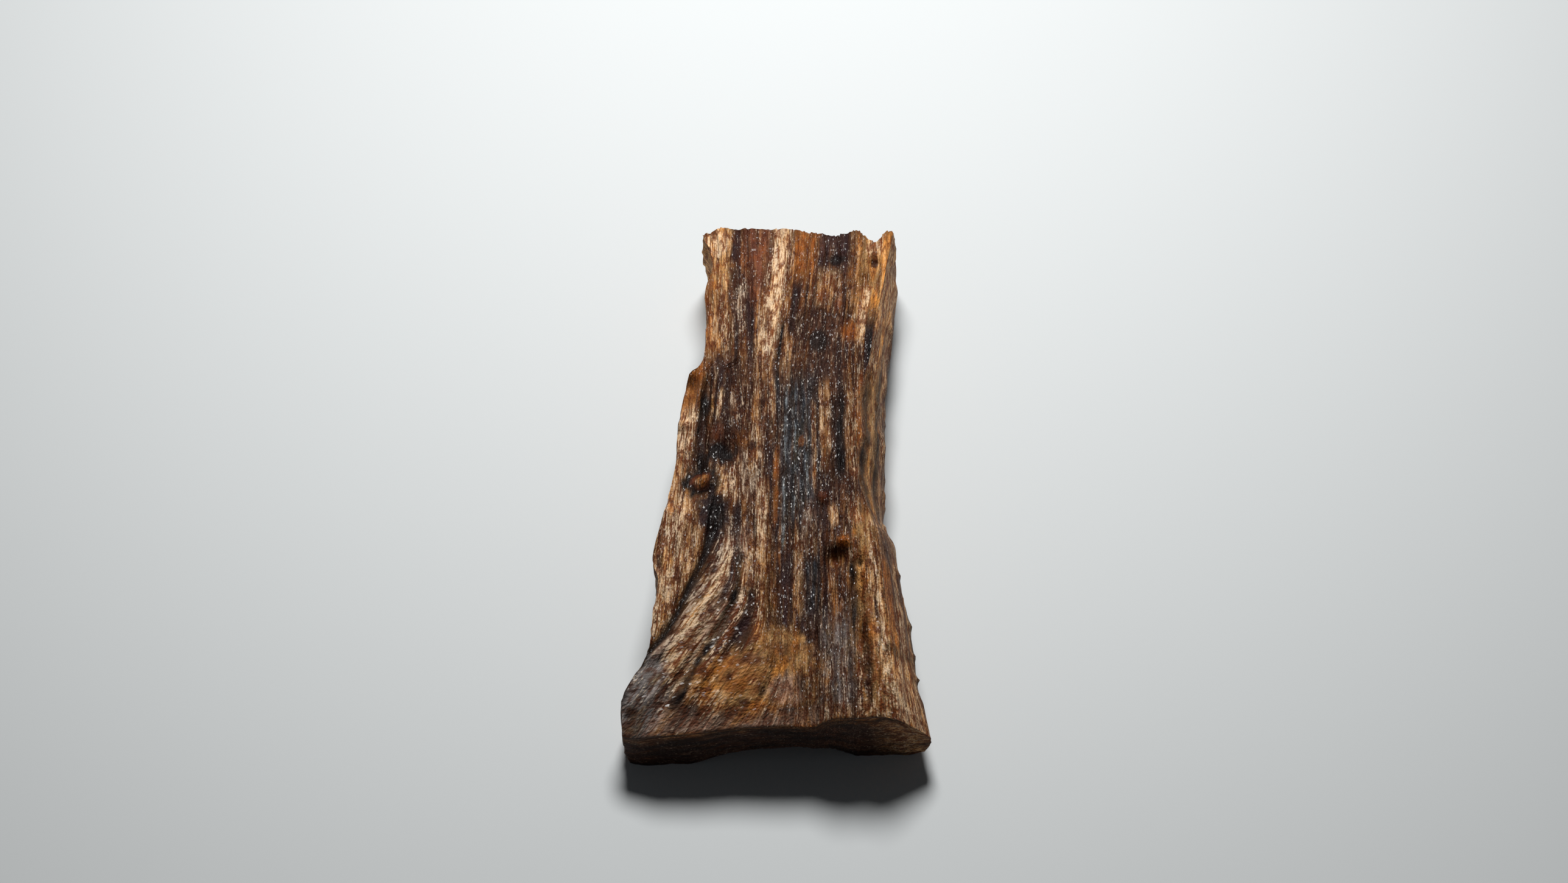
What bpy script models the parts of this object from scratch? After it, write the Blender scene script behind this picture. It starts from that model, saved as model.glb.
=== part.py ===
"""A chip of resin-rich agarwood, cross-cut at the near end and broken off at the far end.

The chip lies along +Y with its near cut at -Y, and rests on the plane z = 0. It is one
solid: a box primitive divided into a lattice, whose points are then moved to the split
and torn surface of the real chip. Sizes below are in millimetres. x runs across the chip
from the grain line through its middle, y runs along it from the near cut, and z is up.
"""

import math

import bmesh
import bpy
from mathutils import Vector, noise

MM = 0.001
NAME = "agarwood_chip"

# Driving dimensions. The columns across are closer together at the right, by this power.
LENGTH = 21.8
CELLS_ALONG = 70
CELLS_ACROSS = 28
CELLS_THROUGH = 4
CLOSER_AT_RIGHT = 1.25

# Left arris of the top face, as (y, x). The foot of the chip flares out to the left below
# y = 3, and a torn ledge steps out below y = 15.
LEFT_ARRIS = (
    (0.0, -6.5), (0.9, -6.6), (1.5, -6.52), (2.2, -6.15), (2.8, -5.75), (3.4, -5.42),
    (4.6, -5.32), (6.2, -5.12), (6.8, -5.3), (7.8, -5.2), (9.2, -4.87), (11.2, -4.46),
    (13.1, -4.34), (14.6, -4.12), (15.2, -3.95), (15.7, -3.4), (17.6, -3.24), (19.1, -3.28),
    (20.3, -3.0), (21.8, -3.45),
)
# Right arris of the top face, and the furthest reach of the right side below it.
RIGHT_ARRIS = (
    (0.0, 4.6), (2.6, 4.4), (5.2, 4.15), (6.8, 3.95), (8.2, 3.75), (9.2, 3.3), (11.0, 2.95),
    (12.4, 3.2), (13.8, 3.1), (16.4, 3.65), (19.2, 4.1), (21.8, 4.6),
)
RIGHT_REACH = (
    (0.0, 6.0), (1.0, 5.8), (2.0, 5.48), (4.2, 5.22), (6.6, 4.82), (7.9, 4.6), (9.0, 4.25),
    (11.0, 4.18), (14.8, 4.27), (17.2, 4.45), (19.2, 4.7), (21.0, 4.8), (21.8, 4.75),
)
# How far the two long sides stand in from those lines, as (share of the height, inset). Above
# its last share the right side slopes in to its arris, by this power.
LEFT_WALL = ((0.0, 0.2), (0.25, 0.06), (0.6, 0.0), (1.0, 0.0))
RIGHT_WALL = ((0.0, 0.25), (0.2, 0.05), (0.45, 0.0))
RIGHT_SLOPE = 1.4

# Height of the top face along the chip, as (y, z), and what the near cut adds across it.
TOP_ALONG = (
    (0.0, 2.9), (1.0, 3.45), (2.6, 4.0), (5.5, 4.45), (9.5, 4.75), (14.5, 4.6),
    (18.5, 4.4), (21.8, 4.15),
)
NEAR_CUT_RISE = (
    (-6.5, -0.25), (-4.8, -0.2), (-2.0, 0.0), (1.1, 0.05), (1.8, 0.35), (4.6, 0.25), (6.0, 0.0),
)
NEAR_CUT_REACH = 3.2

# Height of the arched underside across the near cut, as (x, z), and along the middle, as
# (y, z). The three low spots on which the chip rests are (x, y).
UNDER_NEAR = (
    (-6.6, 0.25), (-5.6, 0.05), (-3.5, 0.35), (-2.0, 0.85), (0.0, 1.3), (1.6, 1.15),
    (2.9, 0.35), (4.0, 0.05), (4.9, 0.3), (6.0, 0.8),
)
UNDER_ALONG = ((0.0, 0.9), (6.0, 0.75), (12.0, 0.6), (18.0, 0.4), (21.8, 0.4))
UNDER_NEAR_REACH = 5.0
REST_SPOTS = ((-5.0, 1.6), (3.9, 1.8), (0.4, 19.4))
REST_HALF_WIDTH = 1.4
REST_HALF_LENGTH = 2.4
REST_DEPTH = 0.85

# The ends in plan, as (x, y): the cut is nearly straight, and the break has a notch at
# its right between two torn teeth.
NEAR_END = (
    (-6.6, 0.0), (-5.8, -0.15), (-3.4, -0.08), (-2.0, 0.07), (0.0, 0.12), (1.2, 0.12),
    (1.7, 0.2), (4.6, 0.26), (6.1, 0.2),
)
NEAR_CUT_LEAN = 0.22
FAR_END = (
    (-3.6, 0.0), (-3.05, 0.2), (-2.0, 0.34), (-0.7, 0.3), (0.4, 0.25), (1.8, 0.1), (2.4, 0.08),
    (3.05, 0.2), (3.8, -0.28), (4.1, 0.05), (4.35, 0.22), (4.8, -0.05),
)
FAR_BREAK_LEAN = 0.45

# Ridges and grooves that keep their place between the two arrises, as
# (share of the width, from y, to y, half width, rise, taper). The first two are the long
# ridge at the right, which starts at two torn tips.
RIDGES = (
    (0.93, -1.0, 8.95, 0.05, 0.46, 0.5), (0.99, 3.0, 8.7, 0.028, 0.2, 0.5),
    (0.79, -1.0, 5.2, 0.07, 0.22, 1.6), (0.868, 2.8, 7.2, 0.024, -0.26, 1.5),
    (0.665, 2.2, 8.6, 0.035, -0.2, 1.8), (0.735, 4.6, 9.4, 0.03, 0.16, 1.5),
    (0.965, 11.0, 13.9, 0.03, 0.24, 0.8), (0.9, 9.6, 15.0, 0.035, -0.2, 1.4),
    (0.93, 14.0, 20.0, 0.03, 0.16, 1.4), (0.14, 9.8, 15.5, 0.035, -0.3, 0.9),
    (0.2, 11.8, 18.0, 0.03, 0.12, 1.8), (0.03, 4.6, 9.8, 0.05, -0.12, 1.4),
)
# Ridges and grooves that follow the grain, as (grain line, from y, to y, half width, rise).
STRANDS = (
    (-1.45, 0.8, 7.4, 0.1, -0.14), (-1.1, 1.2, 6.0, 0.08, -0.1), (-1.9, 0.5, 8.0, 0.2, 0.12),
    (-0.5, 1.5, 11.5, 0.3, 0.14), (0.35, 8.2, 15.0, 0.5, -0.16),
    (-1.9, 13.0, 20.0, 0.28, -0.12), (-1.0, 13.0, 21.5, 0.32, 0.12), (-0.15, 16.5, 23.0, 0.34, 0.14),
    (1.6, 17.0, 23.0, 0.4, -0.12), (2.5, 17.5, 23.0, 0.3, 0.14), (-2.5, 16.0, 23.0, 0.3, 0.12),
)
STRAND_TAPER = 1.2
# Hollows and knobs, as (x, y, half width, half length, rise).
LUMPS = (
    (2.1, 7.1, 0.3, 0.34, -0.55), (2.42, 7.75, 0.32, 0.3, 0.34), (1.58, 9.65, 0.26, 0.26, 0.24),
    (-2.35, 11.8, 0.55, 0.6, -0.34), (-3.37, 10.4, 0.7, 0.7, -0.4), (-3.37, 10.4, 0.42, 0.4, 0.75),
    (-2.7, 8.9, 0.5, 0.9, -0.26), (1.3, 16.8, 1.1, 1.3, -0.2), (-0.8, 2.3, 1.8, 1.5, -0.12),
    (3.75, 20.55, 0.22, 0.3, -0.3), (3.4, 19.7, 0.26, 0.4, -0.2), (2.2, 20.7, 0.4, 0.3, -0.16),
    (3.05, 6.8, 0.2, 0.2, -0.2),
)
# The torn ledge along the left arris drops outwards, as (from y, to y, width, drop), and
# so does the foot's left corner.
LEDGES = ((12.9, 15.4, 0.85, 0.55), (9.0, 13.2, 0.95, 0.4), (-1.0, 3.2, 1.7, 0.4))
LEDGE_TAPER = 0.6

# The grain fans out at the left of the foot, below a top station. Fibres run along y until
# they reach the line y = start + drift * x, and then lean outwards by this slope. Those at the
# left of a crack, given as (y, x), stay straighter. The crack's groove has a half width in x.
FAN_SLOPE = 0.45
FAN_START = (1.84, -2.63)
FAN_TOP = 8.2
FAN_SOFTNESS = 0.12
CRACK = (
    (2.9, -5.8), (3.35, -5.3), (4.1, -4.65), (4.95, -4.2), (5.9, -3.8), (7.05, -3.25), (8.2, -2.9),
)
CRACK_STEP = 0.14
CRACK_TAPER = 0.5
CRACK_HALF_WIDTH = 0.2
CRACK_DEPTH = 0.22
# Beyond each of two axes the grain flares towards the cut, as (axis, amount at the cut, station
# where it starts). At the right of another axis it bends towards the break.
LEFT_FLARE = (-1.0, 0.6, 15.5)
RIGHT_FLARE = (3.0, 1.4, 9.0)
BEND_START = 15.0
BEND_AXIS = -1.6
BEND = 0.5

# Coarse split relief: lumps of this size across and along the grain, with finer ones among
# them, and how far they rise. The sawn cut and the torn break have their own, as (depth,
# lumps in a millimetre across, lumps in the height). Each face reads its own row of the noise.
RELIEF_ACROSS = 0.75
RELIEF_ALONG = 3.6
RELIEF_FINER = 2.1
RELIEF_RISE = 0.1
WALL_RELIEF = 0.2
WALL_LUMPS = 2.5
CUT_RELIEF = (0.05, 1.0, 2.0)
BREAK_RELIEF = (0.3, 2.2, 3.0)
TOP_ROW = 0.0
UNDER_ROW = 9.0
LEFT_ROW = 20.0
RIGHT_ROW = 40.0
CUT_ROW = 60.0
BREAK_ROW = 80.0


def through(points, at):
    """Value at a place on the smooth curve that passes through the points."""
    if at <= points[0][0]:
        return points[0][1]
    for i in range(len(points) - 1):
        (x0, y0), (x1, y1) = points[i], points[i + 1]
        if at <= x1:
            before, after = points[max(i - 1, 0)], points[min(i + 2, len(points) - 1)]
            width = x1 - x0
            slope0 = (y1 - before[1]) / (x1 - before[0]) * width
            slope1 = (after[1] - y0) / (after[0] - x0) * width
            t = (at - x0) / width
            return (
                (2 * t**3 - 3 * t**2 + 1) * y0 + (t**3 - 2 * t**2 + t) * slope0
                + (3 * t**2 - 2 * t**3) * y1 + (t**3 - t**2) * slope1
            )
    return points[-1][1]


def ease(t):
    """0 below 0 and 1 above 1, with a smooth rise between."""
    t = min(max(t, 0.0), 1.0)
    return t * t * (3 - 2 * t)


def bell(t):
    return math.exp(-t * t)


def stretch(y, start, end, taper):
    """1 between two stations, fading to 0 at each over the taper."""
    return ease((y - start) / taper) * ease((end - y) / taper)


def above_zero(t, softness):
    """t where it is above 0, and 0 below, with a smooth bend between."""
    return max(t, 0.0) + softness * math.log1p(math.exp(-abs(t) / softness))


def left_of_crack(x, y):
    """1 on the layer at the left of the crack, and 0 beyond it."""
    beside = ease((through(CRACK, y) - x) / CRACK_STEP)
    return beside * ease((y - CRACK[0][0]) / CRACK_TAPER)


def crack_groove(x, y):
    """Depth of the crack's groove."""
    along = stretch(y, CRACK[0][0] - CRACK_TAPER, CRACK[-1][0] + CRACK_TAPER, CRACK_TAPER)
    return CRACK_DEPTH * along * bell((x - through(CRACK, y)) / CRACK_HALF_WIDTH)


def flared(x, y, axis, amount, start):
    spread = amount * max(0.0, 1 - y / start)
    return (x + spread * axis) / (1 + spread)


def grain_line(x, y):
    """The x that the fibre through a point has in the straight middle of the chip."""
    line = flared(x, y, *LEFT_FLARE) if x < LEFT_FLARE[0] else x
    start, drift = FAN_START
    fanned = (line + FAN_SLOPE * (start - y)) / (1 - FAN_SLOPE * drift)
    lean = min(fanned - line, FAN_SLOPE * (FAN_TOP - y))
    line += above_zero(lean, FAN_SOFTNESS) * (1 - left_of_crack(x, y))
    if x > RIGHT_FLARE[0]:
        line = flared(x, y, *RIGHT_FLARE)
    bend = ease((y - BEND_START) / (LENGTH - BEND_START))
    return line - BEND * bend * ease((x - BEND_AXIS) / -BEND_AXIS)


def split_relief(line, y, z):
    """Uneven lumps, long along the grain, left where the wood was split."""
    place = Vector((line / RELIEF_ACROSS, y / RELIEF_ALONG, z / RELIEF_ACROSS))
    finer = place * RELIEF_FINER + Vector((7.0, 3.0, 0.0))
    return noise.noise(place) + 0.5 * noise.noise(finer)


def top_height(width_share, x, y):
    line = grain_line(x, y)
    height = through(TOP_ALONG, y) + through(NEAR_CUT_RISE, x) * ease(1 - y / NEAR_CUT_REACH)
    for at, start, end, half_width, rise, taper in RIDGES:
        height += rise * stretch(y, start, end, taper) * bell((width_share - at) / half_width)
    for at, start, end, half_width, rise in STRANDS:
        height += rise * stretch(y, start, end, STRAND_TAPER) * bell((line - at) / half_width)
    for at_x, at_y, half_width, half_length, rise in LUMPS:
        height += rise * bell(math.hypot((x - at_x) / half_width, (y - at_y) / half_length))
    height -= crack_groove(x, y)
    edge = through(LEFT_ARRIS, y)
    for start, end, width, drop in LEDGES:
        height -= drop * stretch(y, start, end, LEDGE_TAPER) * ease(1 - (x - edge) / width)
    return height + RELIEF_RISE * split_relief(line, y, TOP_ROW)


def under_height(x, y):
    """Arched underside, pressed down at the rest spots and flat there at z = 0."""
    near = ease(1 - y / UNDER_NEAR_REACH)
    height = near * through(UNDER_NEAR, x) + (1 - near) * through(UNDER_ALONG, y)
    height += RELIEF_RISE * split_relief(grain_line(x, y), y, UNDER_ROW)
    for at_x, at_y in REST_SPOTS:
        away = math.hypot((x - at_x) / REST_HALF_WIDTH, (y - at_y) / REST_HALF_LENGTH)
        height -= REST_DEPTH * bell(away)
    return max(height, 0.0)


def side_lines(y, share):
    """x of the left and right sides at a station, at a share of the chip's height."""
    left = through(LEFT_ARRIS, y) + through(LEFT_WALL, share)
    reach = through(RIGHT_REACH, y)
    if share < RIGHT_WALL[-1][0]:
        right = reach - through(RIGHT_WALL, share)
    else:
        up = (share - RIGHT_WALL[-1][0]) / (1 - RIGHT_WALL[-1][0])
        right = reach + (through(RIGHT_ARRIS, y) - reach) * up**RIGHT_SLOPE
    hollow = WALL_RELIEF * math.sin(math.pi * min(max(share, 0.1), 0.9))
    left += hollow * abs(split_relief(left, y, WALL_LUMPS * share + LEFT_ROW))
    right -= hollow * abs(split_relief(right, y, WALL_LUMPS * share + RIGHT_ROW))
    return left, right


def end_relief(relief, x, share, row):
    depth, lumps_across, lumps_up = relief
    return depth * noise.noise(Vector((lumps_across * x, lumps_up * share, row)))


def chip_point(across, along, share):
    """Where a point of the unit box lies on the chip."""
    width_share = 1 - (1 - across) ** CLOSER_AT_RIGHT
    left, right = side_lines(along * LENGTH, share)
    x = left + (right - left) * width_share
    sawn = end_relief(CUT_RELIEF, x, share, CUT_ROW)
    near = through(NEAR_END, x) + NEAR_CUT_LEAN * share + sawn
    torn = end_relief(BREAK_RELIEF, x, share, BREAK_ROW)
    far = LENGTH + through(FAR_END, x) - (FAR_BREAK_LEAN - torn) * (1 - share)
    y = near + (far - near) * along
    low, high = under_height(x, y), top_height(width_share, x, y)
    return Vector((x, y, low + (high - low) * share))


def divide_box(mesh, direction, cells):
    """Cuts every edge that runs in one direction, so that the box becomes a lattice."""
    edges = [
        edge for edge in mesh.edges
        if abs((edge.verts[1].co - edge.verts[0].co).normalized()[direction]) > 0.9
    ]
    bmesh.ops.subdivide_edges(mesh, edges=edges, cuts=cells - 1, use_grid_fill=True)


def chip_mesh():
    mesh = bmesh.new()
    bmesh.ops.create_cube(mesh, size=1.0)
    for direction, cells in enumerate((CELLS_ACROSS, CELLS_ALONG, CELLS_THROUGH)):
        divide_box(mesh, direction, cells)
    for vertex in mesh.verts:
        across, along, share = vertex.co + Vector((0.5, 0.5, 0.5))
        vertex.co = chip_point(across, along, share) * MM
    bmesh.ops.triangulate(mesh, faces=mesh.faces, quad_method="SHORT_EDGE")
    data = bpy.data.meshes.new(NAME)
    mesh.to_mesh(data)
    mesh.free()
    return data


def centre_on_footprint(data):
    """Puts the origin under the middle of the box around the chip, on the resting plane."""
    low = Vector([min(v.co[i] for v in data.vertices) for i in range(3)])
    high = Vector([max(v.co[i] for v in data.vertices) for i in range(3)])
    middle = (low + high) / 2
    for vertex in data.vertices:
        vertex.co -= Vector((middle.x, middle.y, low.z))


def wood_material():
    material = bpy.data.materials.new("resinous_wood")
    material.use_nodes = True
    shader = material.node_tree.nodes["Principled BSDF"]
    shader.inputs["Base Color"].default_value = (0.145, 0.075, 0.035, 1.0)
    shader.inputs["Roughness"].default_value = 0.45
    shader.inputs["Metallic"].default_value = 0.0
    return material


def main():
    for leftover in list(bpy.data.objects):
        bpy.data.objects.remove(leftover)
    parts = bpy.data.collections.new("agarwood")
    bpy.context.scene.collection.children.link(parts)
    data = chip_mesh()
    centre_on_footprint(data)
    data.materials.append(wood_material())
    data.shade_smooth()
    data.set_sharp_from_angle(angle=math.radians(50))
    parts.objects.link(bpy.data.objects.new(NAME, data))


main()
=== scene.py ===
"""Looks for a chip of resin-rich agarwood: its torn fibres, resin streaks and pits, on a pale floor.

The surface is built from the same named sizes as the CAD solid, on a finer lattice. Sizes are in
millimetres: x runs across the chip, y along it from the near cut, and z up.
"""

import math

import bpy
import numpy as np
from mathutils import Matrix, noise


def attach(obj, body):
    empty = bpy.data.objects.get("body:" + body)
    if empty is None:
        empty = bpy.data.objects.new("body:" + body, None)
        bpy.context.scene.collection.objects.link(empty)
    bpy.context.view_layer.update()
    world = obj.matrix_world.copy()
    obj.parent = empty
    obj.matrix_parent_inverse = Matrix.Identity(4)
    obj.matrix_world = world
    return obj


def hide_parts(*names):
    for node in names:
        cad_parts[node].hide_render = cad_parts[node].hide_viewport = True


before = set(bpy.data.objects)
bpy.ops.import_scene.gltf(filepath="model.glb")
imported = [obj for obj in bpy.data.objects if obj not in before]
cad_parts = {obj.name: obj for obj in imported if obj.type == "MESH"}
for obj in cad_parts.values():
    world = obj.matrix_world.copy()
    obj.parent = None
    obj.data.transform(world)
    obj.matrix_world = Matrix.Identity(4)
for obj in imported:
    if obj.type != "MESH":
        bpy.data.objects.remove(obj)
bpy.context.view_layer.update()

MM = 0.001
NODE = "agarwood_chip"
CENTRE = (-0.31582, 10.98743)

CELLS_ALONG = 176
CELLS_ACROSS = 184
CELLS_THROUGH = 18
# How much closer the lattice is at the right, and beside the upper and lower edges.
CLOSER_AT_RIGHT = 1.12
CLOSER_AT_ARRISES = 0.45
# A point whose share is below the first or above the last of these is on a face of the box.
FIRST, LAST = 0.001, 0.999

# Outline, heights and ends, as in the CAD solid.
LENGTH = 21.8
LEFT_ARRIS = (
    (0.0, -6.5), (0.9, -6.6), (1.5, -6.52), (2.2, -6.15), (2.8, -5.75), (3.4, -5.42),
    (4.6, -5.32), (6.2, -5.12), (6.8, -5.3), (7.8, -5.2), (9.2, -4.87), (11.2, -4.46),
    (13.1, -4.34), (14.6, -4.12), (15.2, -3.95), (15.7, -3.4), (17.6, -3.24), (19.1, -3.28),
    (20.3, -3.0), (21.8, -3.45),
)
RIGHT_ARRIS = (
    (0.0, 4.6), (2.6, 4.4), (5.2, 4.15), (6.8, 3.95), (8.2, 3.75), (9.2, 3.3), (11.0, 2.95),
    (12.4, 3.2), (13.8, 3.1), (16.4, 3.65), (19.2, 4.1), (21.8, 4.6),
)
RIGHT_REACH = (
    (0.0, 6.0), (1.0, 5.8), (2.0, 5.48), (4.2, 5.22), (6.6, 4.82), (7.9, 4.6), (9.0, 4.25),
    (11.0, 4.18), (14.8, 4.27), (17.2, 4.45), (19.2, 4.7), (21.0, 4.8), (21.8, 4.75),
)
LEFT_WALL = ((0.0, 0.2), (0.25, 0.06), (0.6, 0.0), (1.0, 0.0))
RIGHT_WALL = ((0.0, 0.25), (0.2, 0.05), (0.45, 0.0))
RIGHT_SLOPE = 1.4
TOP_ALONG = (
    (0.0, 2.9), (1.0, 3.45), (2.6, 4.0), (5.5, 4.45), (9.5, 4.75), (14.5, 4.6),
    (18.5, 4.4), (21.8, 4.15),
)
NEAR_CUT_RISE = (
    (-6.5, -0.25), (-4.8, -0.2), (-2.0, 0.0), (1.1, 0.05), (1.8, 0.35), (4.6, 0.25), (6.0, 0.0),
)
NEAR_CUT_REACH = 3.2
UNDER_NEAR = (
    (-6.6, 0.25), (-5.6, 0.05), (-3.5, 0.35), (-2.0, 0.85), (0.0, 1.3), (1.6, 1.15),
    (2.9, 0.35), (4.0, 0.05), (4.9, 0.3), (6.0, 0.8),
)
UNDER_ALONG = ((0.0, 0.9), (6.0, 0.75), (12.0, 0.6), (18.0, 0.4), (21.8, 0.4))
UNDER_NEAR_REACH = 5.0
REST_SPOTS = ((-5.0, 1.6), (3.9, 1.8), (0.4, 19.4))
REST_HALF_WIDTH = 1.4
REST_HALF_LENGTH = 2.4
REST_DEPTH = 0.85
NEAR_END = (
    (-6.6, 0.0), (-5.8, -0.15), (-3.4, -0.08), (-2.0, 0.07), (0.0, 0.12), (1.2, 0.12),
    (1.7, 0.2), (4.6, 0.26), (6.1, 0.2),
)
NEAR_CUT_LEAN = 0.22
FAR_END = (
    (-3.6, 0.0), (-3.05, 0.2), (-2.0, 0.34), (-0.7, 0.3), (0.4, 0.25), (1.8, 0.1), (2.4, 0.08),
    (3.05, 0.2), (3.8, -0.28), (4.1, 0.05), (4.35, 0.22), (4.8, -0.05),
)
FAR_BREAK_LEAN = 0.45

# Ridges and grooves, lumps, ledges, crack and grain, as in the CAD solid.
# (share of the width, from y, to y, half width, rise, taper)
RIDGES = (
    (0.93, -1.0, 8.95, 0.05, 0.46, 0.5), (0.99, 3.0, 8.7, 0.028, 0.2, 0.5),
    (0.79, -1.0, 5.2, 0.07, 0.22, 1.6), (0.868, 2.8, 7.2, 0.024, -0.26, 1.5),
    (0.665, 2.2, 8.6, 0.035, -0.2, 1.8), (0.735, 4.6, 9.4, 0.03, 0.16, 1.5),
    (0.965, 11.0, 13.9, 0.03, 0.24, 0.8), (0.9, 9.6, 15.0, 0.035, -0.2, 1.4),
    (0.93, 14.0, 20.0, 0.03, 0.16, 1.4), (0.14, 9.8, 15.5, 0.035, -0.3, 0.9),
    (0.2, 11.8, 18.0, 0.03, 0.12, 1.8), (0.03, 4.6, 9.8, 0.05, -0.12, 1.4),
)
# (grain line, from y, to y, half width, rise)
STRANDS = (
    (-1.45, 0.8, 7.4, 0.1, -0.14), (-1.1, 1.2, 6.0, 0.08, -0.1), (-1.9, 0.5, 8.0, 0.2, 0.12),
    (-0.5, 1.5, 11.5, 0.3, 0.14), (0.35, 8.2, 15.0, 0.5, -0.16),
    (-1.9, 13.0, 20.0, 0.28, -0.12), (-1.0, 13.0, 21.5, 0.32, 0.12), (-0.15, 16.5, 23.0, 0.34, 0.14),
    (1.6, 17.0, 23.0, 0.4, -0.12), (2.5, 17.5, 23.0, 0.3, 0.14), (-2.5, 16.0, 23.0, 0.3, 0.12),
)
STRAND_TAPER = 1.2
# (x, y, half width, half length, rise)
LUMPS = (
    (2.1, 7.1, 0.3, 0.34, -0.55), (2.42, 7.75, 0.32, 0.3, 0.34), (1.58, 9.65, 0.26, 0.26, 0.24),
    (-2.35, 11.8, 0.55, 0.6, -0.34), (-3.37, 10.4, 0.7, 0.7, -0.4), (-3.37, 10.4, 0.42, 0.4, 0.75),
    (-2.7, 8.9, 0.5, 0.9, -0.26), (1.3, 16.8, 1.1, 1.3, -0.2), (-0.8, 2.3, 1.8, 1.5, -0.12),
    (3.75, 20.55, 0.22, 0.3, -0.3), (3.4, 19.7, 0.26, 0.4, -0.2), (2.2, 20.7, 0.4, 0.3, -0.16),
    (3.05, 6.8, 0.2, 0.2, -0.2),
)
# (from y, to y, width, drop)
LEDGES = ((12.9, 15.4, 0.85, 0.55), (9.0, 13.2, 0.95, 0.4), (-1.0, 3.2, 1.7, 0.4))
LEDGE_TAPER = 0.6
# Fibres that fan out to the left foot: their slope, the line that they start on, as (y at x = 0,
# slope), the y above which they run straight, and how softly they turn.
FAN_SLOPE = 0.45
FAN_START = (1.84, -2.63)
FAN_TOP = 8.2
FAN_SOFTNESS = 0.12
# Crack along the fan, as (y, x), and the step and the groove beside it.
CRACK = (
    (2.9, -5.8), (3.35, -5.3), (4.1, -4.65), (4.95, -4.2), (5.9, -3.8), (7.05, -3.25), (8.2, -2.9),
)
CRACK_STEP = 0.14
CRACK_TAPER = 0.5
CRACK_HALF_WIDTH = 0.2
CRACK_DEPTH = 0.22
# Spreading of the fibres at the foot, as (x that it leaves in place, amount, y where it ends).
LEFT_FLARE = (-1.0, 0.6, 15.5)
RIGHT_FLARE = (3.0, 1.4, 9.0)
# Bend of the fibres towards the broken end: from this y on, right of this x, by this much.
BEND_START = 15.0
BEND_AXIS = -1.6
BEND = 0.5
# Relief of the split surfaces: the width and length of its lumps, how much finer the smaller ones
# are, their share and where their pattern starts, and the rise.
RELIEF_ACROSS = 0.75
RELIEF_ALONG = 3.6
RELIEF_FINER = 2.1
FINER_SHARE = 0.5
FINER_START = (7.0, 3.0)
RELIEF_RISE = 0.1
# Hollows in the sides: their depth, how many there are in the height, and the share of it at the
# top and at the bottom in which they get no shallower.
WALL_RELIEF = 0.2
WALL_LUMPS = 2.5
WALL_EDGE = 0.1
# Relief of the two ends, as (depth, lumps a mm across, lumps in the height).
CUT_RELIEF = (0.05, 1.0, 2.0)
BREAK_RELIEF = (0.3, 2.2, 3.0)
# Rows of the noise that the faces take their relief from, far enough apart to differ.
TOP_ROW = 0.0
UNDER_ROW = 9.0
LEFT_ROW = 20.0
RIGHT_ROW = 40.0
CUT_ROW = 60.0
BREAK_ROW = 80.0

# Splinters that stand out of the right side, as (y, share of the height, half length, reach).
SIDE_SPLINTERS = (
    (6.7, 0.55, 0.13, 0.14), (2.35, 0.5, 0.12, 0.12), (3.3, 0.52, 0.1, 0.06), (4.6, 0.5, 0.16, 0.06),
    (9.0, 0.55, 0.14, 0.09), (12.6, 0.5, 0.2, 0.07), (18.2, 0.55, 0.16, 0.08),
)
SPLINTER_HALF_HEIGHT = 0.07

# Fibres that stand out, as (rise, width, length and depth of the lumps).
FIBRES = ((0.022, 0.1, 0.7, 0.1), (0.045, 0.22, 1.8, 0.24))
# Crumbs: their lumps, and their rise, which is multiplied by the share of resin plus this much.
CRUMBS = ((1.0, 0.12, 0.26, 0.13),)
CRUMB_RISE = 0.016
DRY_CRUMBS = 0.3
# Split layers: how many lie in how wide and long a lump, and the step at the edge of each, as its
# rise, place and width.
SPLIT_LAYERS = ((2.6, 0.5, 4.2, 0.5),)
STEP_RISE = 0.08
STEP_AT = 0.72
STEP_WIDTH = 0.2
# How much smoother the wood is beside the near cut, and how far in.
SMOOTHER_AT_CUT = 0.6
SMOOTHER_REACH = 1.4

# Wood colours, as (linear red, green, blue, share of pale fibres on it, share of resin in it), with
# three colours of painted light among them: a sheen, the highlight along the near cut's arris and
# thin glint lines. Resin is dark and glossy, and dry wood is matt.
COLOURS = {
    "pale": (0.36, 0.235, 0.125, 0.8, 0.25),
    "tan": (0.27, 0.150, 0.064, 0.6, 0.3),
    "gold": (0.39, 0.215, 0.082, 0.18, 0.2),
    "ochre": (0.17, 0.080, 0.026, 0.35, 0.3),
    "orange": (0.24, 0.088, 0.019, 0.14, 0.4),
    "red": (0.095, 0.030, 0.014, 0.15, 0.5),
    "brown": (0.080, 0.033, 0.013, 0.42, 0.35),
    "umber": (0.040, 0.016, 0.009, 0.28, 0.6),
    "purple": (0.030, 0.013, 0.013, 0.12, 0.8),
    "resin": (0.008, 0.005, 0.005, 0.08, 1.0),
    "blue": (0.025, 0.026, 0.031, 0.28, 1.0),
    "grey": (0.12, 0.080, 0.054, 0.7, 0.3),
    "mauve": (0.23, 0.155, 0.112, 0.6, 0.55),
    "slate": (0.155, 0.134, 0.126, 0.3, 0.7),
    # The next colour is a painted sheen: a pale grey highlight laid on as colour.
    "painted_sheen": (0.24, 0.22, 0.21, 0.3, 0.5),
    # The next colour is the painted highlight along the near cut's arris. It also tints one pinkish
    # patch on the foot.
    "lip_tint_and_highlight": (0.30, 0.19, 0.135, 0.3, 0.2),
    # The next colour is painted glints: thin blue-white highlight lines on the resin.
    "painted_glint": (0.075, 0.085, 0.09, 0.75, 1.0),
}
# Colours that the unevenness of the wood runs through, from its darkest veins to its palest.
VEINS = (
    (-0.8, "resin"), (-0.4, "purple"), (-0.18, "umber"), (0.05, "brown"), (0.28, "ochre"),
    (0.5, "brown"), (0.75, "grey"), (1.0, "tan"),
)

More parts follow.
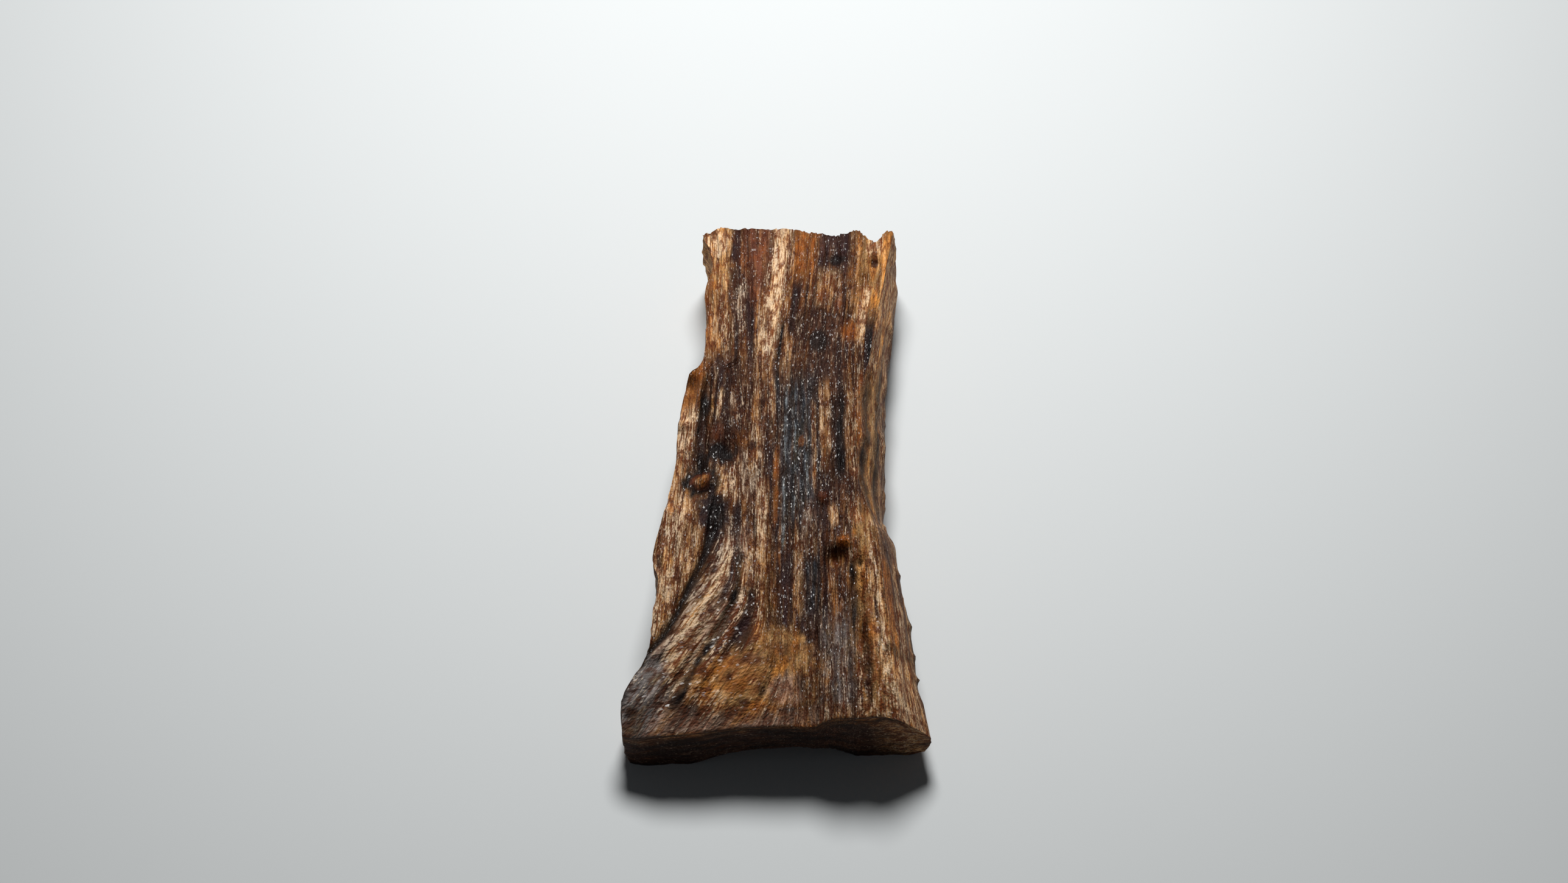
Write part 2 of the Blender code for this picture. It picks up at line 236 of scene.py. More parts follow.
# Streaks along the top, as (colour, half width, strength, grain line at its near end and at its
# far end, from y, to y). Later ones lie over earlier ones.
STREAKS = (
    # broken end, broad zones
    ("tan", 0.5, 0.9, -2.75, -2.75, 15.5, 22.8), ("gold", 0.5, 0.6, -2.7, -2.75, 19.2, 22.8),
    ("orange", 0.12, 0.6, -3.1, -3.1, 15.5, 19.5),
    ("red", 0.5, 0.85, -1.2, -1.25, 18.9, 22.8), ("orange", 0.4, 0.75, 0.35, 0.4, 19.6, 22.8),
    ("purple", 0.6, 0.9, 1.7, 1.6, 19.9, 22.8), ("tan", 0.45, 0.6, 1.4, 1.4, 18.4, 20.2),
    ("umber", 1.1, 0.8, 1.3, 1.25, 13.0, 18.4), ("gold", 0.65, 0.85, 3.35, 3.4, 17.9, 22.8),
    ("tan", 0.3, 0.75, -0.95, -0.9, 15.0, 17.2), ("umber", 0.8, 0.8, -2.2, -2.2, 12.9, 16.2),
    ("purple", 0.5, 0.85, -2.65, -2.6, 13.5, 16.0),
    # broken end, lines
    ("pale", 0.3, 1.0, -0.68, -0.5, 16.2, 22.8), ("pale", 0.3, 0.6, 3.3, 3.4, 20.9, 22.8),
    ("grey", 0.24, 0.85, -1.8, -1.8, 17.2, 19.8), ("pale", 0.17, 0.95, 3.0, 3.05, 16.8, 19.4),
    ("tan", 0.14, 0.85, 0.1, 0.12, 14.4, 17.0), ("purple", 0.13, 0.95, -2.1, -1.95, 20.4, 22.8),
    ("purple", 0.12, 0.9, -2.2, -2.15, 18.6, 20.4), ("purple", 0.08, 0.95, -1.56, -1.5, 16.4, 19.0),
    ("resin", 0.07, 0.9, -0.25, -0.22, 14.4, 17.6), ("umber", 0.4, 0.95, 1.6, 1.6, 15.4, 17.9),
    ("pale", 0.09, 0.8, -2.53, -2.5, 13.1, 14.5), ("grey", 0.1, 0.7, -2.1, -2.1, 13.0, 14.6),
    ("pale", 0.07, 0.7, -2.85, -2.8, 13.2, 15.4), ("grey", 0.08, 0.7, -1.75, -1.7, 13.2, 15.2),
    # middle, broad zones
    ("tan", 0.75, 0.85, -3.7, -3.6, 3.0, 10.2), ("brown", 0.7, 0.6, -1.5, -1.5, 9.5, 15.4),
    ("tan", 0.5, 0.85, -2.1, -2.1, 9.6, 11.5), ("grey", 0.35, 0.85, -1.3, -1.3, 9.8, 12.0),
    ("blue", 0.95, 0.95, 0.75, 0.7, 8.4, 15.2), ("brown", 0.8, 0.6, 2.2, 2.2, 8.6, 11.0),
    ("umber", 0.65, 0.75, 1.95, 1.9, 8.4, 15.2), ("ochre", 0.14, 0.7, 1.7, 1.7, 10.8, 15.0),
    # middle, lines
    ("orange", 0.32, 1.0, -3.75, -3.66, 13.3, 16.0), ("pale", 0.34, 1.0, -3.7, -3.65, 11.4, 13.8),
    ("tan", 0.3, 0.9, -3.72, -3.7, 9.4, 12.2), ("tan", 0.16, 0.8, -1.2, -1.1, 11.0, 14.6),
    # The gleam streaks in these rows are painted glints, thin highlight lines.
    ("pale", 0.16, 0.9, -0.9, -0.9, 6.6, 10.4), ("painted_glint", 0.05, 0.9, -0.02, 0.1, 7.4, 14.6),
    ("orange", 0.08, 0.85, -0.35, -0.3, 8.6, 11.9), ("tan", 0.12, 0.7, -0.45, -0.5, 12.6, 15.2),
    ("painted_glint", 0.04, 0.7, 0.45, 0.4, 9.2, 14.4), ("painted_glint", 0.04, 0.6, 0.95, 0.9, 9.0, 13.6),
    ("tan", 0.07, 0.7, 1.25, 1.2, 10.0, 14.0), ("pale", 0.06, 0.7, 1.55, 1.5, 11.0, 14.8),
    ("pale", 0.05, 0.7, 1.85, 1.8, 11.4, 14.4), ("tan", 0.2, 0.85, 2.85, 2.8, 10.6, 14.6),
    ("mauve", 0.15, 0.8, 0.6, 1.0, 6.4, 9.3), ("tan", 0.2, 0.75, 0.6, 0.55, 4.8, 8.0),
    # middle, resin
    ("resin", 0.17, 0.95, -3.1, -3.15, 10.9, 14.5), ("purple", 0.13, 0.9, -0.55, -0.55, 10.4, 13.2),
    ("resin", 0.2, 0.95, 2.28, 2.25, 10.7, 14.2), ("purple", 0.14, 0.85, 1.75, 1.7, 8.4, 10.6),
    ("orange", 0.1, 0.95, 3.12, 3.15, 11.0, 15.2),
    # foot
    ("mauve", 0.5, 0.9, -1.6, -1.75, 0.6, 8.2), ("grey", 0.2, 0.85, -1.85, -2.05, 1.4, 8.8),
    ("tan", 0.3, 0.7, -1.1, -1.2, 1.4, 7.6), ("ochre", 0.3, 0.7, -0.6, -0.6, 2.6, 7.4),
    ("purple", 0.28, 0.95, 0.0, 0.05, 3.8, 7.4), ("blue", 0.3, 0.9, 1.2, 1.15, 3.4, 7.2),
    ("slate", 0.8, 0.9, 2.15, 2.1, -0.6, 4.4), ("umber", 0.32, 0.95, 1.15, 1.15, 0.9, 4.8),
    ("grey", 0.14, 0.8, 1.75, 1.75, 0.3, 3.2), ("umber", 0.08, 0.65, 2.05, 2.0, 0.4, 4.4),
    ("mauve", 0.1, 0.6, 2.45, 2.4, 0.2, 3.4), ("purple", 0.1, 0.6, 2.8, 2.8, 0.6, 3.8),
    ("tan", 0.48, 1.0, 3.58, 3.02, -0.6, 9.4), ("gold", 0.36, 0.95, 3.62, 3.1, -0.6, 9.2),
    ("pale", 0.17, 0.65, 3.62, 3.12, 0.2, 9.0), ("orange", 0.09, 0.8, 3.42, 3.1, 1.2, 8.6),
    ("umber", 0.08, 0.95, 3.2, 3.15, 0.2, 4.4),
    ("pale", 0.08, 0.9, 3.74, 3.4, -0.6, 7.4), ("resin", 0.14, 0.95, 2.9, 2.75, 3.6, 6.9),
    ("umber", 0.05, 0.85, 3.52, 3.25, 3.4, 8.2), ("brown", 0.1, 0.7, 3.9, 3.6, 2.4, 8.0),
    ("pale", 0.3, 0.7, -3.95, -3.7, 3.8, 9.4), ("pale", 0.1, 0.85, -1.76, -1.92, 1.2, 7.8),
    ("pale", 0.06, 0.8, -1.44, -1.52, 1.6, 7.0), ("purple", 0.04, 0.85, -1.62, -1.72, 2.2, 7.4),
    ("tan", 0.08, 0.7, -1.22, -1.3, 1.4, 5.6), ("resin", 0.06, 0.95, -1.32, -1.6, 1.0, 7.4),
    ("purple", 0.09, 0.95, -1.02, -1.18, 1.8, 5.8), ("umber", 0.04, 0.6, -1.52, -1.75, 0.8, 4.8),
    ("pale", 0.08, 0.75, -1.63, -1.68, 1.7, 4.8),
    ("tan", 0.07, 0.75, -0.85, -0.95, 3.0, 7.0), ("purple", 0.12, 0.85, 3.2, 3.15, 8.6, 11.0),
    ("blue", 0.14, 0.8, -2.0, -2.05, -0.4, 2.4), ("umber", 0.12, 0.8, -2.25, -2.25, 0.3, 3.0),
)

# Patches on the top, as (colour, strength, x, y, half width, half length).
PATCHES = (
    # foot, and the painted highlight along the arris of the near cut, its lip
    ("ochre", 0.9, -0.9, 2.0, 2.5, 1.5), ("gold", 1.0, -1.5, 2.1, 1.5, 1.1),
    ("gold", 0.95, 0.0, 3.0, 1.0, 1.1), ("lip_tint_and_highlight", 0.85, 0.1, 1.75, 0.75, 0.6),
    ("tan", 0.7, -2.9, 1.3, 0.7, 0.5), ("orange", 0.8, -1.9, 1.8, 0.5, 0.3),
    ("orange", 0.6, -1.0, 1.1, 0.5, 0.2), ("orange", 0.7, 0.4, 3.3, 0.3, 0.3),
    ("orange", 0.6, -1.7, 2.3, 1.0, 0.7), ("pale", 0.5, -1.2, 2.0, 0.2, 0.16),
    ("umber", 0.7, -2.2, 2.2, 0.14, 0.2), ("red", 0.7, -0.2, 3.3, 0.3, 0.3),
    ("umber", 0.7, -0.5, 2.8, 0.26, 0.3), ("umber", 0.8, -1.6, 1.25, 0.26, 0.14),
    ("blue", 0.85, 0.15, 0.95, 0.28, 0.12), ("red", 0.7, -1.3, 2.9, 0.4, 0.24),
    ("umber", 0.7, -0.9, 1.7, 0.16, 0.24), ("umber", 0.7, 0.7, 2.0, 0.2, 0.4),
    ("slate", 0.95, -5.6, 2.1, 0.9, 1.1), ("lip_tint_and_highlight", 0.8, -2.4, 0.2, 4.2, 0.3),
    ("lip_tint_and_highlight", 0.6, -4.6, 0.55, 1.0, 0.3), ("pale", 0.5, -0.2, 0.15, 0.9, 0.2),
    # The two sheen patches at the near-left corner are a painted highlight, a grey sheen laid on as
    # colour.
    ("ochre", 0.8, 3.4, 0.25, 1.8, 0.2), ("painted_sheen", 1.0, -5.95, 0.7, 0.8, 0.7),
    ("painted_sheen", 0.5, -5.4, 2.3, 0.45, 0.7), ("umber", 0.9, -6.2, 1.0, 0.28, 0.16),
    ("lip_tint_and_highlight", 0.5, -5.3, 0.5, 0.3, 0.2),
    # knot hollow, and the ridge with its torn tips
    ("brown", 0.8, 2.2, 7.4, 0.5, 0.6), ("umber", 0.7, 1.8, 7.5, 0.2, 0.4),
    ("orange", 0.95, 2.45, 7.7, 0.28, 0.26), ("ochre", 0.9, 2.15, 7.05, 0.24, 0.26),
    ("umber", 0.8, 2.1, 8.7, 0.26, 0.4),
    ("tan", 1.0, 2.0, 8.85, 0.22, 0.45), ("tan", 0.9, 3.6, 6.1, 0.32, 0.8),
    ("tan", 0.9, 3.28, 7.3, 0.34, 0.8), ("gold", 0.9, 3.02, 8.4, 0.34, 0.6),
    ("pale", 0.6, 2.94, 8.6, 0.2, 0.4),
    ("purple", 0.8, 2.66, 8.2, 0.1, 0.5), ("gold", 0.85, 3.25, 7.6, 0.22, 0.9),
    ("resin", 0.9, 3.05, 6.8, 0.1, 0.12), ("red", 0.9, 1.58, 9.65, 0.22, 0.22),
    # left: hollows, round knob and edge
    ("umber", 0.92, -2.6, 12.2, 1.0, 1.2), ("resin", 1.0, -2.6, 11.75, 0.52, 0.42),
    ("red", 0.4, -2.75, 12.6, 0.3, 0.35), ("ochre", 0.5, -1.6, 12.35, 0.4, 0.36),
    ("umber", 0.8, -1.3, 12.0, 0.2, 0.2),
    ("resin", 1.0, -3.38, 10.4, 0.74, 0.7), ("red", 1.0, -3.37, 10.42, 0.4, 0.38),
    # The small gold spot on the knob's dome is a painted highlight.
    ("ochre", 0.9, -3.34, 10.4, 0.28, 0.27), ("gold", 0.5, -3.26, 10.5, 0.12, 0.1),
    ("purple", 1.0, -2.9, 8.9, 0.6, 1.0), ("resin", 1.0, -2.78, 8.95, 0.42, 0.8),
    ("resin", 0.85, -3.3, 11.35, 0.22, 0.5), ("red", 0.9, -4.3, 6.3, 0.13, 0.34),
    ("umber", 0.85, -5.05, 7.0, 0.14, 0.3), ("resin", 0.8, -3.35, 5.35, 0.1, 0.12),
    ("gold", 0.6, -4.75, 7.1, 0.25, 0.5), ("orange", 0.6, -4.6, 9.2, 0.2, 0.3),
    # broken end and middle
    ("resin", 0.9, 2.2, 20.7, 0.36, 0.26), ("ochre", 0.9, 3.4, 19.7, 0.22, 0.4),
    ("umber", 0.9, 3.75, 20.6, 0.12, 0.18), ("resin", 0.8, 1.4, 16.9, 0.4, 0.5),
    ("red", 0.7, 1.6, 18.9, 0.2, 0.3), ("red", 0.6, 2.2, 18.6, 0.14, 0.3),
    ("orange", 0.6, 0.7, 12.2, 0.11, 0.24), ("pale", 0.7, -2.8, 21.4, 0.5, 0.6),
    ("orange", 0.5, 2.7, 17.3, 0.4, 0.5), ("red", 0.7, -0.95, 15.9, 0.16, 0.35),
    ("red", 0.7, -0.7, 17.4, 0.12, 0.3), ("ochre", 0.7, -2.9, 18.6, 0.3, 0.6),
)

# Stripes along the sloping right side and the upright left side, as (colour, half share, strength,
# share of the height, from y, to y).
RIGHT_STRIPES = (
    ("tan", 0.6, 0.9, 0.6, 6.0, 16.0), ("tan", 0.5, 0.8, 0.8, 14.5, 23.0),
    ("tan", 0.5, 0.8, 0.7, -0.5, 7.0),
    ("resin", 0.08, 0.9, 0.9, 8.0, 16.0), ("gold", 0.05, 0.9, 0.8, 8.4, 20.0),
    ("resin", 0.08, 0.95, 0.69, 8.2, 16.5), ("tan", 0.06, 0.95, 0.57, 8.6, 21.0),
    ("umber", 0.06, 0.85, 0.46, 9.0, 20.0), ("tan", 0.3, 0.65, 0.8, 17.0, 22.5),
    ("purple", 0.12, 0.9, 0.86, 4.6, 9.0),
    ("purple", 0.05, 0.9, 0.62, 1.5, 9.5), ("pale", 0.04, 0.8, 0.74, -0.5, 7.6),
    ("tan", 0.05, 0.85, 0.56, -0.5, 6.4), ("resin", 0.03, 0.9, 0.5, 0.6, 8.0),
    ("gold", 0.035, 0.85, 0.67, 0.6, 3.6), ("orange", 0.07, 0.75, 0.95, 1.5, 7.6),
    ("pale", 0.09, 0.8, 0.88, -0.5, 3.6), ("tan", 0.06, 0.7, 0.42, -0.5, 8.0),
    ("umber", 0.05, 0.8, 0.34, 2.0, 20.0), ("ochre", 0.08, 0.6, 0.2, 0.0, 22.0),
)
LEFT_STRIPES = (
    ("gold", 0.7, 0.95, 0.6, 18.0, 24.0),
    ("orange", 0.2, 0.7, 0.9, 12.8, 22.0), ("ochre", 0.25, 0.65, 0.8, 3.0, 12.8),
    ("umber", 0.06, 0.85, 0.62, 2.0, 20.0), ("tan", 0.06, 0.8, 0.48, 4.0, 22.0),
    ("resin", 0.05, 0.85, 0.33, 1.0, 15.0), ("umber", 0.3, 0.75, 0.8, -0.5, 3.0),
    ("pale", 0.04, 0.7, 0.72, 7.0, 21.0), ("tan", 0.07, 0.7, 0.17, 0.0, 18.0),
)

# How the colours waver and vary, as (amount, width, length and depth of the lumps).
VEIN_LUMPS = ((1.0, 0.3, 6.0, 0.3), (0.7, 0.12, 2.6, 0.12))
WAVERING = ((0.07, 0.22, 1.3, 0.3), (0.045, 0.09, 0.5, 0.1))
WAVERING_ON_SIDES = 0.25
STRENGTH_LUMPS = ((0.6, 0.14, 1.2, 0.2),)
MEAN_STRENGTH = 0.85
PATCH_LUMPS = ((1.0, 0.2, 0.3, 0.3),)
# Share of the height above which a point has the top's colours, and over which they come in.
TOP_FROM = 0.72
TOP_BLEND = 0.22
# Streaks and stripes: their strength, how flat they are across, and how long their ends fade.
STREAK_STRENGTH = 1.1
STREAK_FLATNESS = 0.8
SHORTEST_FADE = 0.6
FADE_BY_WIDTH = 1.5
LONGEST_FADE_SHARE = 0.35
STRIPE_TAPER = 1.2
# Patches: how ragged their outline is, where they end, as a share of their half width, and over
# what share they fade.
RAGGEDNESS = 0.45
RAGGED_BY_WIDTH = 0.8
PATCH_END = 1.3
PATCH_FADE = 0.6
# Strength of the painted shade in the crack's groove, laid on in the resin's colour.
CRACK_PAINTED_SHADE = 0.9
# Painted highlight along the arris of the near cut, its lip: its width, and the x from and to which
# it is greyish, then tan.
LIP_HIGHLIGHT_WIDTH = 0.9
LIP_HIGHLIGHT_FROM = -5.8
LIP_HIGHLIGHT_TO = 2.2
TAN_HIGHLIGHT_FROM = 1.2
# Near cut: the strength of each colour, its bands, as (amount, width, thickness, 1), how much of
# it they leave pale and dark, and how sharply the dark ones end.
CUT_UMBER = 0.85
CUT_OCHRE = 0.8
CUT_RESIN = 0.8
CUT_TAN = 0.9
CUT_BANDS = ((1.0, 1.6, 0.16, 1.0),)
PALE_BANDS = 0.7
DARK_BANDS = 0.4
DARK_BAND_CONTRAST = 1.5
# Share of the height above which the near cut is ochre, and x right of which it is tan, and the
# distances over which they come in.
CUT_OCHRE_FROM = 0.7
CUT_OCHRE_BLEND = 0.3
CUT_TAN_FROM = 3.2
CUT_TAN_BLEND = 2.0
# Depth that the full height counts as in the wood's pattern.
DEPTH = 4.2
# Share of its gloss that the resin keeps on the faces other than the top.
WET_SIDES = 0.2
# How much paler the wood is at the break, on the sides and on the near cut.
PALER_AT_BREAK = 0.2
PALER_FROM = 14.5
PALER_BLEND = 5.0
PALER_AT_SIDES = 0.4
PALER_AT_CUT = 0.4

# Noise in the material, as (cells a mm across, along and through the grain), detail, roughness.
HAIRS = ((26.0, 1.6, 26.0), 2.0, 0.6)
FIBRE_BUNDLES = ((8.0, 0.4, 8.0), 3.0, 0.6)
STAINS = ((2.8, 0.9, 2.8), 3.0, 0.65)
BLOTS = ((5.0, 1.9, 5.0), 4.0, 0.7)
SPECKS = ((26.0, 9.0, 26.0), 1.0, 0.5)
# What the wood's colour is multiplied by, and the colours of dry and of resinous pale fibres.
WARM = (1.8, 1.35, 0.75, 1.0)
DARK = (0.27, 0.17, 0.15, 1.0)
AMBER = (0.56, 0.25, 0.14, 1.0)
BRIGHT = (2.5, 2.5, 2.55, 1.0)
DRY_CREAM = (0.68, 0.54, 0.40, 1.0)
RESIN_CREAM = (0.22, 0.25, 0.27, 1.0)
# Ranges, as (from low, from high, to low, to high), where the last two may be left out as 0 and 1.
RESINOUS = (0.7, 1.0)
CREAM_BY_STAIN = (0.35, 0.6, 0.8, 0.4)
FIBROUS_BY_FLECKS = (0.12, 0.45, 0.3, 1.0)
WARM_BY_STAIN = (0.5, 0.64)
DARK_BUNDLES = (0.49, 0.41)
BRIGHT_BUNDLES = (0.53, 0.62)
UNCOVERED_BY_FLECKS = (0.0, 1.0, 0.66, 0.42)
COVER_EDGE = (-0.01, 0.05)
AMBER_HAIRS = (0.47, 0.36)
MOTTLED_BY_FLECKS = (0.12, 0.4, 0.5, 1.0)
AMBER_BLOTS = (0.51, 0.42, 0.0, 0.85)
DARK_BLOTS = (0.43, 0.35, 0.0, 0.8)
ROUGHNESS_BY_WET = (0.0, 1.0, 0.65, 0.5)
COAT_BY_WET = (0.1, 0.95, 0.05, 0.4)
# Shares of the two noises in a pale fibre, and of the specks beside the hairs in the relief.
HAIR_SHARE = 0.7
SPECK_SHARE = 0.3
SPECK_RELIEF = 1.3
RELIEF_DISTANCE = 0.045
WOOD_SPECULAR = 0.12
COAT_ROUGHNESS = 0.2
# Facets of the resin: cells a mm, and how far they tilt.
FACET_CELLS = (24.0, 15.0, 24.0)
FACET_TILT = 1.1

# Floor, in metres, with its colour and surface.
FLOOR_HALF = 0.6
FLOOR_COLOUR = (0.735, 0.77, 0.79, 1.0)
FLOOR_ROUGHNESS = 0.9
FLOOR_SPECULAR = 0.1

# Key light, in mm and W, and the soft light from all round.
KEY_PLACE = (0.3, 47.7, 75.0)
KEY_AIM = (0.0, 0.0, 2.0)
KEY_SIZE = 30.0
KEY_POWER = 0.087
KEY_COLOUR = (1.0, 0.985, 0.96)
WORLD_COLOUR = (0.93, 0.96, 1.0, 1.0)
WORLD_STRENGTH = 0.032

# Camera: its place in mm, its tilt from straight down in degrees, half the frame's width and the
# focal length in pixels of the frame, and the near and far limits of its view in metres.
CAMERA_PLACE = (0.316, -80.664, 188.484)
CAMERA_TILT = 24
HALF_FRAME = 1288
FOCAL_LENGTH = 8100
CLIP = (0.005, 5.0)


def through(points, at):
    """Values at places on the smooth curve that passes through the points."""
    xs, ys = np.array(points).T
    at = np.clip(at, xs[0], xs[-1])
    i = np.clip(np.searchsorted(xs, at) - 1, 0, len(xs) - 2)
    before, after = np.maximum(i - 1, 0), np.minimum(i + 2, len(xs) - 1)
    width = xs[i + 1] - xs[i]
    slope0 = (ys[i + 1] - ys[before]) / (xs[i + 1] - xs[before]) * width
    slope1 = (ys[after] - ys[i]) / (xs[after] - xs[i]) * width
    t = (at - xs[i]) / width
    return (
        (2 * t**3 - 3 * t**2 + 1) * ys[i] + (t**3 - 2 * t**2 + t) * slope0
        + (3 * t**2 - 2 * t**3) * ys[i + 1] + (t**3 - t**2) * slope1
    )


def ease(t):
    t = np.clip(t, 0.0, 1.0)
    return t * t * (3 - 2 * t)


def bell(t):
    return np.exp(-t * t)


def stretch(y, start, end, taper):
    """1 between two stations, fading to 0 at each over the taper."""
    return ease((y - start) / taper) * ease((end - y) / taper)


def rough(*coordinates):
    """Smooth noise, about -1 to 1, at each place."""
    places = np.stack(np.broadcast_arrays(*coordinates), axis=-1).reshape(-1, 3).tolist()
    return np.array([noise.noise(place) for place in places])


def lumpy(layers, across, along, through_depth):
    """Sum of layers of smooth noise, each as (amount, width, length and depth of its lumps)."""
    return sum(
        amount * rough(across / width, along / length, through_depth / depth)
        for amount, width, length, depth in layers
    )


def above_zero(t, softness):
    """t where it is above 0, and 0 below, with a smooth bend between."""
    return np.maximum(t, 0.0) + softness * np.log1p(np.exp(-np.abs(t) / softness))


def left_of_crack(x, y):
    """1 on the layer at the left of the crack, and 0 beyond it."""
    beside = ease((through(CRACK, y) - x) / CRACK_STEP)
    return beside * ease((y - CRACK[0][0]) / CRACK_TAPER)


def crack_groove(x, y):
    along = stretch(y, CRACK[0][0] - CRACK_TAPER, CRACK[-1][0] + CRACK_TAPER, CRACK_TAPER)
    return CRACK_DEPTH * along * bell((x - through(CRACK, y)) / CRACK_HALF_WIDTH)


def flared(x, y, axis, amount, start):
    """The x of a fibre that spreads out from the axis, where it is straight."""
    spread = amount * np.maximum(0.0, 1 - y / start)
    return (x + spread * axis) / (1 + spread)


def grain_line(x, y):
    """The x that the fibre through a point has in the straight middle of the chip."""
    line = np.where(x < LEFT_FLARE[0], flared(x, y, *LEFT_FLARE), x)
    start, drift = FAN_START
    fanned = (line + FAN_SLOPE * (start - y)) / (1 - FAN_SLOPE * drift)
    lean = np.minimum(fanned - line, FAN_SLOPE * (FAN_TOP - y))
    line = line + above_zero(lean, FAN_SOFTNESS) * (1 - left_of_crack(x, y))
    line = np.where(x > RIGHT_FLARE[0], flared(x, y, *RIGHT_FLARE), line)
    bend = ease((y - BEND_START) / (LENGTH - BEND_START))
    return line - BEND * bend * ease((x - BEND_AXIS) / -BEND_AXIS)


def split_relief(line, y, row):
    """Uneven lumps, long along the grain, left where the wood was split."""
    a, b, c = line / RELIEF_ACROSS, y / RELIEF_ALONG, row / RELIEF_ACROSS
    start_a, start_b = FINER_START
    finer = rough(RELIEF_FINER * a + start_a, RELIEF_FINER * b + start_b, RELIEF_FINER * c)
    return rough(a, b, c) + FINER_SHARE * finer


def top_height(width_share, x, y):
    line = grain_line(x, y)
    height = through(TOP_ALONG, y) + through(NEAR_CUT_RISE, x) * ease(1 - y / NEAR_CUT_REACH)
    for at, start, end, half_width, rise, taper in RIDGES:
        height += rise * stretch(y, start, end, taper) * bell((width_share - at) / half_width)
    for at, start, end, half_width, rise in STRANDS:
        height += rise * stretch(y, start, end, STRAND_TAPER) * bell((line - at) / half_width)
    for at_x, at_y, half_width, half_length, rise in LUMPS:
        height += rise * bell(np.hypot((x - at_x) / half_width, (y - at_y) / half_length))
    height -= crack_groove(x, y)
    edge = through(LEFT_ARRIS, y)
    for start, end, width, drop in LEDGES:
        height -= drop * stretch(y, start, end, LEDGE_TAPER) * ease(1 - (x - edge) / width)
    return height + RELIEF_RISE * split_relief(line, y, TOP_ROW)


def under_height(x, y):
    near = ease(1 - y / UNDER_NEAR_REACH)
    height = near * through(UNDER_NEAR, x) + (1 - near) * through(UNDER_ALONG, y)
    height += RELIEF_RISE * split_relief(grain_line(x, y), y, UNDER_ROW)
    for at_x, at_y in REST_SPOTS:
        away = np.hypot((x - at_x) / REST_HALF_WIDTH, (y - at_y) / REST_HALF_LENGTH)
        height -= REST_DEPTH * bell(away)
    return np.maximum(height, 0.0)


def side_lines(y, share):
    """The x of the left and right sides at a share of the height."""
    left = through(LEFT_ARRIS, y) + through(LEFT_WALL, share)
    reach = through(RIGHT_REACH, y)
    up = np.clip((share - RIGHT_WALL[-1][0]) / (1 - RIGHT_WALL[-1][0]), 0.0, 1.0)
    right = reach + (through(RIGHT_ARRIS, y) - reach) * up**RIGHT_SLOPE - through(RIGHT_WALL, share)
    hollow = WALL_RELIEF * np.sin(np.pi * np.clip(share, WALL_EDGE, 1 - WALL_EDGE))
    left = left + hollow * np.abs(split_relief(left, y, WALL_LUMPS * share + LEFT_ROW))
    right = right - hollow * np.abs(split_relief(right, y, WALL_LUMPS * share + RIGHT_ROW))
    for at_y, at_share, half_length, stand in SIDE_SPLINTERS:
        away = np.hypot((y - at_y) / half_length, (share - at_share) / SPLINTER_HALF_HEIGHT)
        right += stand * bell(away)
    return left, right


def lattice():
    """Points of a box's surface as shares of its width, length and height, and its faces."""
    cells = (CELLS_ACROSS, CELLS_ALONG, CELLS_THROUGH)
    steps = np.indices([n + 1 for n in cells])
    skin = np.zeros(steps.shape[1:], bool)
    for axis, n in enumerate(cells):
        skin |= (steps[axis] == 0) | (steps[axis] == n)
    number = np.full(skin.shape, -1)
    number[skin] = np.arange(skin.sum())
    faces = []
    for axis in range(3):
        for end, turned in ((0, True), (-1, False)):
            sheet = np.take(number, end, axis=axis)
            if axis == 1:
                turned = not turned
            a, b, c, d = sheet[:-1, :-1], sheet[1:, :-1], sheet[1:, 1:], sheet[:-1, 1:]
            quads = np.stack([a, d, c, b] if turned else [a, b, c, d], axis=-1)
            faces.append(quads.reshape(-1, 4))
    across, along, through_share = (steps[i][skin] / cells[i] for i in range(3))
    closer = 0.5 - 0.5 * np.cos(np.pi * through_share)
    share = (1 - CLOSER_AT_ARRISES) * through_share + CLOSER_AT_ARRISES * closer
    return across, along, share, np.concatenate(faces)


def end_relief(relief, x, share, row):
    """Unevenness of a torn or cut end."""
    depth, lumps_across, lumps_up = relief
    return depth * rough(lumps_across * x, lumps_up * share, row)


def chip_points(across, along, share):
    """Coordinates of the lattice's points on the chip's main shape."""
    width_share = 1 - (1 - across) ** CLOSER_AT_RIGHT
    left, right = side_lines(along * LENGTH, share)
    x = left + (right - left) * width_share
    near = through(NEAR_END, x) + NEAR_CUT_LEAN * share + end_relief(CUT_RELIEF, x, share, CUT_ROW)
    torn = end_relief(BREAK_RELIEF, x, share, BREAK_ROW)
    far = LENGTH + through(FAR_END, x) - (FAR_BREAK_LEAN - torn) * (1 - share)
    y = near + (far - near) * along
    low, high = under_height(x, y), top_height(width_share, x, y)
    return x, y, low + (high - low) * share


def blend(finish, colour, weight):
    """Changes each point's finish towards a colour by its weight."""
    finish += (np.array(COLOURS[colour]) - finish) * np.clip(weight, 0.0, 1.0)[:, None]


def veined(line, y, depth):
    """The uneven wood that shows where nothing is painted over it."""
    vein = lumpy(VEIN_LUMPS, line, y, depth)
    places = [at for at, _ in VEINS]
    columns = zip(*(COLOURS[name] for _, name in VEINS))
    return np.stack([np.interp(vein, places, column) for column in columns], axis=-1)


def paint_cut(finish, x, depth, share, cut):
    """Dark wood on the near cut, with layers, paler towards its top and its right."""
    bands = lumpy(CUT_BANDS, x, depth, CUT_ROW)
    pale_bands = ease(PALE_BANDS + bands)
    to_top = ease((share - CUT_OCHRE_FROM) / CUT_OCHRE_BLEND)
    to_right = ease((x - CUT_TAN_FROM) / CUT_TAN_BLEND)
    blend(finish, "umber", CUT_UMBER * cut)
    blend(finish, "ochre", CUT_OCHRE * cut * to_top * pale_bands)
    blend(finish, "resin", CUT_RESIN * cut * ease(DARK_BANDS - DARK_BAND_CONTRAST * bands))
    blend(finish, "tan", CUT_TAN * cut * to_right * pale_bands)


